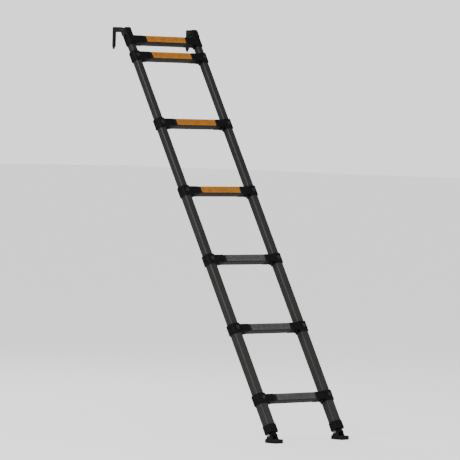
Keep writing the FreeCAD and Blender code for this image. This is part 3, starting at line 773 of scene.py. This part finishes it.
@dataclass(frozen=True)
class GripStrip:
    """A crowned rubber strip on a tread's front: five grooves, cut across into blocks.

    A cut's profile gives, across a groove, shares of its width and of its depth.
    """

    length: float = 252.0 * MM
    height: float = 31.0 * MM
    edge: float = 1.8 * MM
    crown: float = 1.7 * MM
    soft: float = 0.45 * MM
    end_slope: float = 0.5 * MM
    grooves: int = 5
    groove_pitch: float = 5.2 * MM
    groove_depth: float = 1.2 * MM
    groove_width: float = 0.744 * MM
    blocks: int = 18
    block_gap: float = 0.91 * MM
    cut_profile: tuple[tuple[float, float], ...] = (
        (-0.9, 0.0), (-0.5, 1.0), (0.5, 1.0), (0.9, 0.0),
    )
    first_orange: int = 4

    def front(self, z: float) -> float:
        """Work out how far the crowned front stands out of the tread.

        Args:
            z: The height on the strip, from its middle.

        Returns:
            The distance from the tread's face.
        """
        radius = (self.height**2 / 4 + self.crown**2) / (2 * self.crown)
        sag = radius - math.sqrt(radius**2 - z**2)
        return self.edge + self.crown - sag

    def section(self, x: float, sunk: float, back: float) -> Loop:
        """Draw the strip's section at one place along it.

        Args:
            x: The place.
            sunk: How far the front is let down here, as a share of the grooves' depth.
            back: The Y of the strip's flat back.

        Returns:
            The closed loop.
        """
        half = self.height / 2
        marks = {half - self.soft: 0.0, self.soft - half: 0.0}
        reach = self.grooves // 2
        for place in range(-reach, reach + 1):
            middle = place * self.groove_pitch
            for shift, deep in self.cut_profile:
                marks[middle + shift * self.groove_width] = deep
            marks[middle + self.groove_pitch / 2] = 0.0
        marks[-self.grooves / 2 * self.groove_pitch] = 0.0
        floor = self.edge + self.crown - self.groove_depth
        fronts = []
        for z, deep in sorted(marks.items()):
            proud = self.front(z)
            proud -= deep * max(0.0, proud - floor)
            proud -= sunk * max(0.0, proud - floor)
            fronts.append((proud, z))
        rim = self.edge - self.soft
        outline = [(0.0, -half), (rim, -half), *fronts, (rim, half), (0.0, half)]
        return [Vector((x, back - proud, z)) for proud, z in outline]

    def build(self, layout: Layout, section: int, tread: Tread) -> None:
        """Make one section's strip in place of the CAD's.

        Args:
            layout: The ladder's layout.
            section: Which section, counted from the ground.
            tread: The tread that the strip is on.
        """
        half = self.length / 2
        back = -tread.depth / 2
        stops = [(-half, 1.0), (self.end_slope - half, 0.0)]
        for block in range(1, self.blocks):
            middle = self.length * (block / self.blocks - 0.5)
            stops += [(middle + shift * self.block_gap, sunk) for shift, sunk in self.cut_profile]
        stops += [(half - self.end_slope, 0.0), (half, 1.0)]
        colour = GripColour.ORANGE if section >= self.first_orange else GripColour.GREY
        node = f"grip_strip_{section}"
        blank = Blank().loft([self.section(x, sunk, back) for x, sunk in stops])
        blank.finish(
            f"{node}_pad", layout.at(section), f"section_{section}", colour.value, [node]
        )


@dataclass(frozen=True)
class Collar:
    """The ribs moulded on a section's two collars and on the arms they hold out."""

    wall: float = 4.5 * MM
    low: float = -26.0 * MM
    high: float = 22.0 * MM
    top_section_high: float = 16.0 * MM
    ribs: int = 3
    rib_width: float = 2.2 * MM
    rib_height: float = 0.55 * MM
    rib_pitch: float = 7.0 * MM
    rib_margin: float = 5.0 * MM
    arm_end: float = 142.0 * MM
    arm_depth: float = 43.0 * MM
    arm_rib_level: float = 11.0 * MM
    arm_rib_inset: float = 2.5 * MM
    arm_rib_gap: float = 1.5 * MM

    def ribs_on_flanks(self, layout: Layout, section: int) -> None:
        """Raise the ribs on the collars' outer flanks.

        Args:
            layout: The ladder's layout.
            section: Which section, counted from the ground.
        """
        out = layout.half_gauge + layout.tube_width(section) / 2 + self.wall
        proud = Vector((self.rib_height, 0.0, 0.0))
        top = self.high if section < SECTIONS else self.top_section_high
        blank = Blank()
        for rib in range(self.ribs):
            y = (rib - (self.ribs - 1) / 2) * self.rib_pitch
            start = Vector((out, y, self.low + self.rib_margin))
            end = Vector((out, y, top - self.rib_margin))
            blank.rib(start, end, self.rib_width, proud)
        blank.both_sides()
        name = f"collar_ribs_{section}"
        blank.finish(name, layout.at(section), f"section_{section}", "collar_plastic")

    def ribs_on_arms(self, layout: Layout, section: int) -> None:
        """Raise two ribs along the front of each arm, where it reaches for the tread.

        Args:
            layout: The ladder's layout.
            section: Which section, counted from the ground.
        """
        start_x = self.arm_end + self.arm_rib_inset
        face_x = layout.half_gauge - layout.tube_width(section) / 2 - self.wall
        end_x = face_x - self.arm_rib_gap
        proud = Vector((0.0, -self.rib_height, 0.0))
        front = -self.arm_depth / 2
        blank = Blank()
        for z in (-self.arm_rib_level, self.arm_rib_level):
            start = Vector((start_x, front, z))
            blank.rib(start, Vector((end_x, front, z)), self.rib_width, proud)
        blank.both_sides()
        name = f"arm_ribs_{section}"
        blank.finish(name, layout.at(section), f"section_{section}", "collar_plastic")

    def build(self, layout: Layout, section: int) -> None:
        """Dress one section's collars."""
        self.ribs_on_flanks(layout, section)
        self.ribs_on_arms(layout, section)


@dataclass(frozen=True)
class CollarRivets:
    """The domed rivets with hexagon sockets that hold two collars to their tubes."""

    head: float = 10.0 * MM
    dome: float = 2.8 * MM
    rim: float = 0.3 * MM
    dome_foot: float = 0.5 * MM
    flat_share: float = 0.62
    dome_steps: int = 9
    shank: float = 3.0 * MM
    shank_below_tube: float = 1.1 * MM
    tube_less: float = 4.0 * MM
    socket: float = 3.0 * MM
    socket_lip: float = 1.2 * MM
    socket_chamfer: float = 0.35 * MM
    socket_taper: float = 0.1 * MM
    socket_depth: float = 1.9 * MM
    socket_tip: float = 2.2 * MM
    tip_share: float = 0.4

    def loops(self, sunk: float) -> list[Loop]:
        """Draw one rivet about Z, with the face under its head at Z 0.

        Args:
            sunk: How far its shank goes below that face.

        Returns:
            The loops from the shank's end, over the head, to the socket's bottom.
        """
        outline = [(self.shank, -sunk), (self.shank, 0.0)]
        outline += [(self.head - self.rim, 0.0), (self.head, self.rim)]
        flat = self.flat_share * self.head
        for step in range(self.dome_steps + 1):
            turn = FULL_TURN / 4 * step / self.dome_steps
            radius = flat + (self.head - flat) * math.cos(turn)
            height = self.dome - (self.dome - self.dome_foot) * (1.0 - math.sin(turn))
            outline.append((radius, height))
        outline.append((self.socket + self.socket_lip, self.dome))
        loops = [ring_loop(radius, height) for radius, height in outline]
        mouth, floor = self.dome - self.socket_chamfer, self.dome - self.socket_depth
        loops.append(ring_loop(self.socket, mouth, sides=HEXAGON))
        loops.append(ring_loop(self.socket - self.socket_taper, floor, sides=HEXAGON))
        loops.append(ring_loop(self.socket * self.tip_share, self.dome - self.socket_tip))
        return loops

    def build(self, layout: Layout, section: int, collar: Collar) -> None:
        """Make one section's rivets in place of the CAD's.

        Args:
            layout: The ladder's layout.
            section: Which section, counted from the ground.
            collar: The collars that the rivets go through.
        """
        depth = layout.tube_width(section) - self.tube_less
        face = -depth / 2 - collar.wall
        turn = Matrix.Rotation(FULL_TURN / 4, 4, "X")
        shift = Matrix.Translation(Vector((layout.half_gauge, face, 0.0)))
        loops = self.loops(collar.wall + self.shank_below_tube)
        node = f"collar_rivets_{section}"
        blank = Blank().placed(loops, shift @ turn).both_sides()
        blank.finish(
            f"{node}_domed", layout.at(section), f"section_{section}", "rivet_steel", [node]
        )


@dataclass(frozen=True)
class LatchTab:
    """The ridges moulded on a thumb tab, where the thumb pushes."""

    middle: float = 178.7 * MM
    width: float = 14.0 * MM
    bottom: float = -27.0 * MM
    inset: float = 3.0 * MM
    ridges: int = 3
    first_ridge: float = 2.6 * MM
    ridge_pitch: float = 2.2 * MM
    ridge_width: float = 1.5 * MM
    ridge_height: float = 0.55 * MM

    def build(self, layout: Layout, section: int, side: Side) -> None:
        """Raise the ridges on the inner and outer faces of one latch's tab.

        Args:
            layout: The ladder's layout.
            section: The section that the latch is in.
            side: Which of its two latches.
        """
        half = self.width / 2 - self.inset
        blank = Blank()
        for face in (-1, 1):
            x = side.value * self.middle + face * self.width / 2
            proud = Vector((face * self.ridge_height, 0.0, 0.0))
            for ridge in range(self.ridges):
                z = self.bottom + self.first_ridge + self.ridge_pitch * ridge
                ends = (Vector((x, -half, z)), Vector((x, half, z)))
                blank.rib(*ends, self.ridge_width, proud)
        node = f"latch_{side.word}_{section}"
        blank.finish(f"{node}_ridges", layout.at(section), node, "latch_plastic")


@dataclass(frozen=True)
class LatchSpring:
    """The coil spring that pushes one latch outwards; it is drawn at rest and is not squeezed as
    the latch moves.
    """

    radius: float = 5.0 * MM
    wire: float = 0.5 * MM
    fixed_end: float = 148.6 * MM
    latch_end: float = 167.1 * MM
    drop: float = 7.0 * MM
    turns: float = 7.5
    closed_turns: float = 0.9
    travel: float = 8.0 * MM
    steps_per_turn: int = 20
    wire_steps: int = 8

    def centre_line(self) -> Loop:
        """Draw the wire's centre line along X, with closed turns at both ends.

        Returns:
            The points, from the fixed end to the latch.
        """
        total = self.turns + 2 * self.closed_turns
        close = 2 * self.wire
        reach = self.latch_end - self.fixed_end - 2 * close * self.closed_turns
        points = []
        count = round(total * self.steps_per_turn)
        for step in range(count + 1):
            turn = total * step / count
            x = self.fixed_end + close * min(turn, self.closed_turns)
            x += reach * min(max(turn - self.closed_turns, 0.0), self.turns) / self.turns
            x += close * max(turn - self.closed_turns - self.turns, 0.0)
            angle = FULL_TURN * turn
            ring = Vector((0.0, math.cos(angle), math.sin(angle))) * self.radius
            points.append(Vector((x, 0.0, -self.drop)) + ring)
        return points

    def build(self, layout: Layout, section: int, side: Side) -> None:
        """Wind one spring in place of its side of the CAD's pair.

        Args:
            layout: The ladder's layout.
            section: The section that the latch is in.
            side: Which of its two latches the spring pushes.
        """
        loops = []
        for point in self.centre_line():
            outward = Vector((0.0, point.y, point.z + self.drop))
            outward.normalize()
            loop = []
            for step in range(self.wire_steps):
                angle = FULL_TURN * step / self.wire_steps
                away = outward * math.cos(angle) + Vector((math.sin(angle), 0.0, 0.0))
                loop.append(point + away * self.wire)
            loops.append([Vector((side.value * spot.x, spot.y, spot.z)) for spot in loop])
        place = layout.at(section)
        node = f"latch_springs_{section}"
        name = f"latch_spring_{side.word}_{section}"
        blank = Blank().loft(loops)
        piece = blank.finish(name, place, f"section_{section}", "spring_steel", [node])
        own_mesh(piece)


@dataclass(frozen=True)
class HookBolts:
    """The hexagon bolts through each hook and the top collar, with washers and nuts."""

    radius: float = 3.0 * MM
    half_across: float = 5.0 * MM
    head: float = 4.0 * MM
    nut: float = 5.0 * MM
    shank_in_head: float = 0.5
    shank_in_nut: float = 0.6
    washer_radius: float = 6.2 * MM
    washer: float = 0.6 * MM
    washer_bevel: float = 0.1 * MM
    washer_bevel_share: float = 0.15
    hexagon_foot_share: float = 0.1
    chamfer: float = 0.5 * MM
    crown_share: float = 0.94
    dimple_share: float = 0.55
    dimple_floor: float = 0.5
    dimple_depth: float = 0.3
    levels: tuple[float, float] = (31.0 * MM, 49.0 * MM)

    def loops(self, start: float, length: float) -> list[Loop]:
        """Draw a chamfered hexagon about Z with a flat washer under it.

        Args:
            start: The Z of the face that the washer lies on.
            length: How far the hexagon's end is from that face; negative is downwards.

        Returns:
            The loops from the washer to the hexagon's end.
        """
        away = math.copysign(1.0, length)
        washer = self.washer * away
        chamfer = self.chamfer * away
        bevel = self.washer_bevel_share
        inner, outer = self.washer_radius - self.washer_bevel, self.washer_radius
        half, end = self.half_across, start + length
        outline = [
            (inner, CIRCLE, start),
            (outer, CIRCLE, start + bevel * washer),
            (outer, CIRCLE, start + (1.0 - bevel) * washer),
            (inner, CIRCLE, start + washer),
            (half, CIRCLE, start + washer),
            (half, HEXAGON, start + (1.0 + self.hexagon_foot_share) * washer),
            (half, HEXAGON, end - chamfer),
            (half * self.crown_share, CIRCLE, end),
            (half * self.dimple_share, CIRCLE, end),
            (half * self.dimple_floor, CIRCLE, end - self.dimple_depth * chamfer),
        ]
        return [ring_loop(radius, height, sides) for radius, sides, height in outline]

    def build(self, layout: Layout, outer: float, inner: float) -> None:
        """Make the four bolts in place of the CAD's.

        Args:
            layout: The ladder's layout.
            outer: The X of the hook plates' outer faces.
            inner: The X of the collars' inner faces, where the nuts are.
        """
        blank = Blank()
        turn = Matrix.Rotation(FULL_TURN / 4, 4, "Y")
        for level in self.levels:
            place = Matrix.Translation(Vector((0.0, 0.0, level))) @ turn
            shank = [
                ring_loop(self.radius, inner - self.nut * self.shank_in_nut),
                ring_loop(self.radius, outer + self.head * self.shank_in_head),
            ]
            blank.placed(shank, place)
            blank.placed(self.loops(outer, self.head), place)
            blank.placed(self.loops(inner, -self.nut), place)
        blank.both_sides()
        place, body = layout.at(SECTIONS), f"section_{SECTIONS}"
        blank.finish("hook_bolts_hex", place, body, "bolt_steel", ["hook_bolts"])


@dataclass(frozen=True)
class Shoe:
    """The ribs moulded on both flanks of a shoe's sole."""

    ribs: int = 7
    rib_pitch: float = 7.4 * MM
    rib_width: float = 2.4 * MM
    rib_height: float = 0.9 * MM
    rib_bottom: float = 4.0 * MM
    rib_length: float = 13.0 * MM

    def build(self, side: Side) -> None:
        """Raise the ribs on one shoe.

        Args:
            side: Which shoe.
        """
        node = f"shoe_{side.word}"
        low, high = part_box(node)
        middle = (low + high) / 2
        rise = Vector((0.0, 0.0, self.rib_length))
        blank = Blank()
        for rib in range(self.ribs):
            y = middle.y + (rib - (self.ribs - 1) / 2) * self.rib_pitch
            for face, edge in ((-1, low.x), (1, high.x)):
                start = Vector((edge, y, self.rib_bottom))
                proud = Vector((face * self.rib_height, 0.0, 0.0))
                blank.rib(start, start + rise, self.rib_width, proud)
        blank.finish(f"{node}_ribs", Matrix.Identity(4), node, "shoe_rubber")


# ------------------------------------------------------------------------------- studio
@dataclass(frozen=True)
class Lamp:
    """A soft square light, placed from the ladder's middle in metres."""

    name: str
    where: Offset
    size: float
    watts: float

    def build(self, middle: Vector) -> None:
        """Hang the light so that it faces the ladder.

        Args:
            middle: The ladder's middle.
        """
        data = bpy.data.lights.new(self.name, "AREA")
        data.size = self.size
        data.energy = self.watts
        lamp = bpy.data.objects.new(self.name, data)
        lamp.location = middle + Vector(self.where)
        lamp.rotation_mode = "QUATERNION"
        lamp.rotation_quaternion = (-Vector(self.where)).to_track_quat("-Z", "Y")
        bpy.context.scene.collection.objects.link(lamp)
        lamp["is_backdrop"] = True


@dataclass(frozen=True)
class Studio:
    """A pale floor, soft lights and the camera."""

    lamps: tuple[Lamp, ...] = (
        Lamp("key", (-4.2, -0.6, 3.0), 3.8, 160.0),
        Lamp("fill", (2.6, -4.2, 1.6), 2.6, 40.0),
        Lamp("back", (1.5, 3.5, 3.0), 2.4, 80.0),
    )
    sky_colour: Colour = (0.93, 0.96, 1.0)
    sky_strength: float = 0.20
    backdrop_strength: float = 1.5
    floor_size: float = 60.0
    floor_colours: tuple[Colour, Colour] = ((0.87, 0.87, 0.87), (0.90, 0.90, 0.895))
    floor_mottle: float = 3.0
    floor_roughness: float = 0.85
    floor_glow: float = 1.25
    lens: float = 343.0
    far: float = 200.0
    azimuth: float = math.radians(-46.7)
    distance: float = 20.0
    eye_height: float = 1.5
    aim_height: float = 0.93
    roll: float = math.radians(1.46)

    def lay_floor(self) -> None:
        """Lay a floor whose faint mottling keeps it from looking flat."""
        mesh = bmesh.new()
        bmesh.ops.create_grid(mesh, x_segments=6, y_segments=6, size=self.floor_size)
        data = bpy.data.meshes.new("floor")
        mesh.to_mesh(data)
        mesh.free()
        plane = bpy.data.objects.new("floor", data)
        bpy.context.scene.collection.objects.link(plane)
        graph = Graph("pale_floor")
        even = graph.coordinates(0.0, Grain.EVEN)
        shade = graph.mix(graph.noise(even, self.floor_mottle), *self.floor_colours)
        graph.wire(shade, graph.shader.inputs["Base Color"])
        graph.set(Roughness=self.floor_roughness)
        graph.wire(shade, graph.shader.inputs["Emission Color"])
        path = graph.add("LightPath")
        glow = graph.add("Math", operation="MULTIPLY")
        glow.inputs[1].default_value = self.floor_glow
        graph.wire(path.outputs["Is Camera Ray"], glow.inputs[0])
        graph.wire(glow.outputs["Value"], graph.shader.inputs["Emission Strength"])
        data.materials.append(graph.material)
        plane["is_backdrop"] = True

    def light_sky(self) -> None:
        """Light the scene evenly from all round, in front of a plain white backdrop."""
        world = bpy.data.worlds.new("studio")
        bpy.context.scene.world = world
        world.use_nodes = True
        tree = world.node_tree
        around = tree.nodes["Background"]
        around.inputs["Color"].default_value = (*self.sky_colour, 1.0)
        around.inputs["Strength"].default_value = self.sky_strength
        behind = tree.nodes.new("ShaderNodeBackground")
        behind.inputs["Color"].default_value = (1.0, 1.0, 1.0, 1.0)
        behind.inputs["Strength"].default_value = self.backdrop_strength
        path = tree.nodes.new("ShaderNodeLightPath")
        choice = tree.nodes.new("ShaderNodeMixShader")
        tree.links.new(path.outputs["Is Camera Ray"], choice.inputs["Fac"])
        tree.links.new(around.outputs["Background"], choice.inputs[1])
        tree.links.new(behind.outputs["Background"], choice.inputs[2])
        tree.links.new(choice.outputs["Shader"], tree.nodes["World Output"].inputs["Surface"])

    def set_camera(self, middle: Vector) -> None:
        """Set up the camera with a long lens.

        Args:
            middle: The ladder's middle.
        """
        data = bpy.data.cameras.new("camera")
        data.lens = self.lens
        data.clip_end = self.far
        camera = bpy.data.objects.new("camera", data)
        aim = Vector((middle.x, middle.y, self.aim_height))
        away = Vector((math.sin(self.azimuth), -math.cos(self.azimuth), 0.0))
        camera.location = aim + self.distance * away
        camera.location.z = self.eye_height
        look = (aim - camera.location).to_track_quat("-Z", "Y").to_matrix().to_4x4()
        look = look @ Matrix.Rotation(self.roll, 4, "Z")
        camera.rotation_mode = "QUATERNION"
        camera.rotation_quaternion = look.to_quaternion()
        bpy.context.scene.collection.objects.link(camera)
        bpy.context.scene.camera = camera
        camera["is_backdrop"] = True

    def build(self) -> None:
        """Set the whole studio up round the ladder."""
        low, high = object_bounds()
        middle = (low + high) / 2
        self.lay_floor()
        self.light_sky()
        for lamp in self.lamps:
            lamp.build(middle)
        self.set_camera(middle)


CAD_FINISHES = {
    "rail_tubes": "rail_aluminium",
    "collars": "collar_plastic",
    "tread": "tread_aluminium",
    "collar_rivets": "rivet_steel",
    "latch_springs": "spring_steel",
    "latch_left": "latch_plastic",
    "latch_right": "latch_plastic",
    "foot_fittings": "fitting_plastic",
    "shoe_pins": "pin_steel",
    "shoe_left": "shoe_rubber",
    "shoe_right": "shoe_rubber",
    "hook_left": "hook_steel",
    "hook_right": "hook_steel",
    "hook_liners": "liner_rubber",
    "hook_bolts": "bolt_steel",
}


def dress_cad_nodes() -> None:
    """Give every CAD node that stays the finish its name calls for."""
    for name, node in frame["nodes"].items():
        kind = name.rstrip("0123456789").rstrip("_")
        if kind not in CAD_FINISHES:
            continue
        finish = made_finish(CAD_FINISHES[kind])
        for place in node.material_slots:
            place.material = finish
        if not node.material_slots:
            node.data.materials.append(finish)
        LOG.info("%s: %s", name, finish.name)


def main() -> None:
    """Build the ladder's looks and the studio."""
    logging.basicConfig(level=logging.INFO, format="%(name)s: %(message)s")
    layout = Layout.from_frame()
    lean = math.atan2(layout.lean[2][1], layout.lean[1][1])
    for finish in FINISHES:
        finish.build(-lean)
    dress_cad_nodes()
    tread, strip, collar, rivets = Tread(), GripStrip(), Collar(), CollarRivets()
    tab, spring, shoe = LatchTab(), LatchSpring(), Shoe()
    for section in range(1, SECTIONS + 1):
        tread.build(layout, section)
        strip.build(layout, section, tread)
        collar.build(layout, section)
        if section < SECTIONS:
            rivets.build(layout, section, collar)
            for side in Side:
                tab.build(layout, section, side)
                spring.build(layout, section, side)
    for side in Side:
        shoe.build(side)
    hook_face = abs(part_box("hook_left")[0].x)
    inner = layout.half_gauge - layout.tube_width(SECTIONS) / 2 - collar.wall
    HookBolts().build(layout, hook_face, inner)
    Studio().build()


if __name__ == "__main__":
    main()
